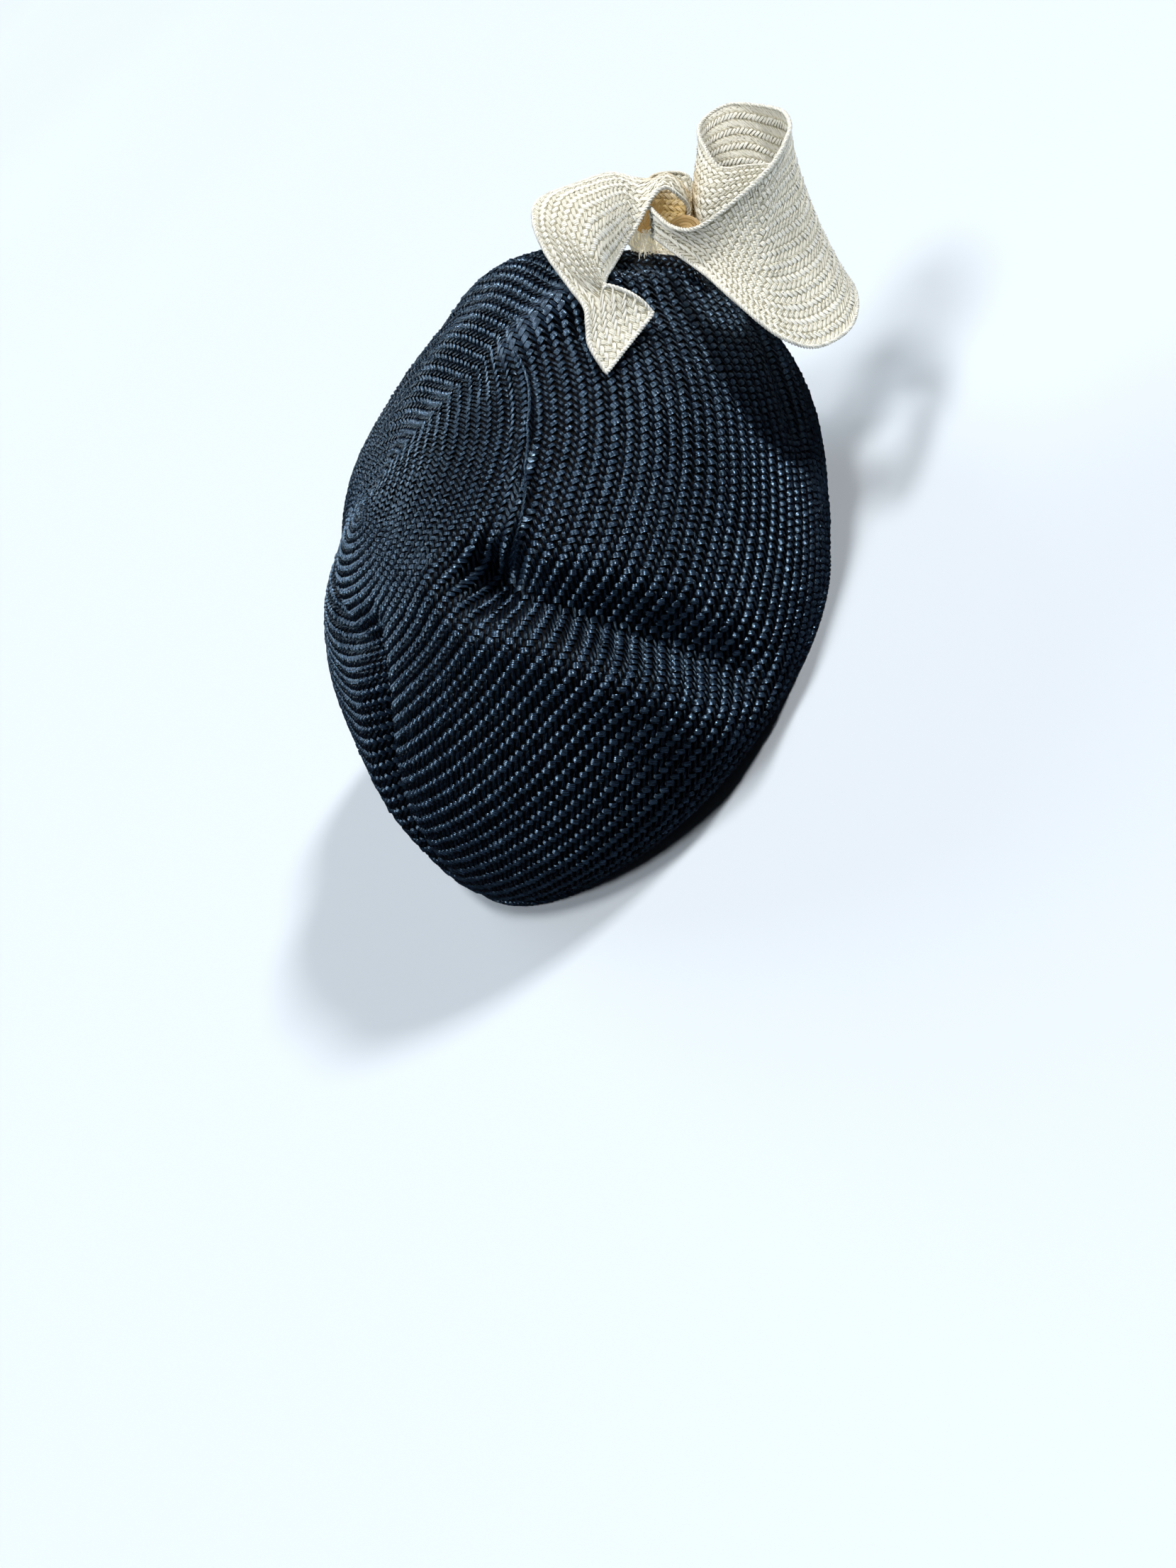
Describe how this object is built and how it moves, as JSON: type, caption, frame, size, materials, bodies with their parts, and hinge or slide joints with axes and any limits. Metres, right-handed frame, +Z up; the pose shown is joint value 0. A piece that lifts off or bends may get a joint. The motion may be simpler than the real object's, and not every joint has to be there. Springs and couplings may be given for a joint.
{
  "type": "straw beret",
  "caption": "Hand-draped woven straw beret with a folded and dented crown, a turned-in hem and a curled straw strip trim gathered at the front",
  "frame": {"origin": "centre of the whole hat's plan, on the surface that its hem rests on", "axes": "+Z up through the crown, -Y the front of the hat, -X the wearer's right"},
  "size_m": [0.2256, 0.32, 0.1756],
  "materials": {
    "navy_straw": "semi-gloss navy straw, twill woven in rings",
    "ivory_straw": "semi-gloss ivory straw, twill woven"
  },
  "bodies": {
    "root": {"crown": "navy_straw", "trim_curl": "ivory_straw", "trim_tail_loop": "ivory_straw", "trim_back_loop": "ivory_straw", "trim_knot": "ivory_straw"}
  },
  "joints": []
}
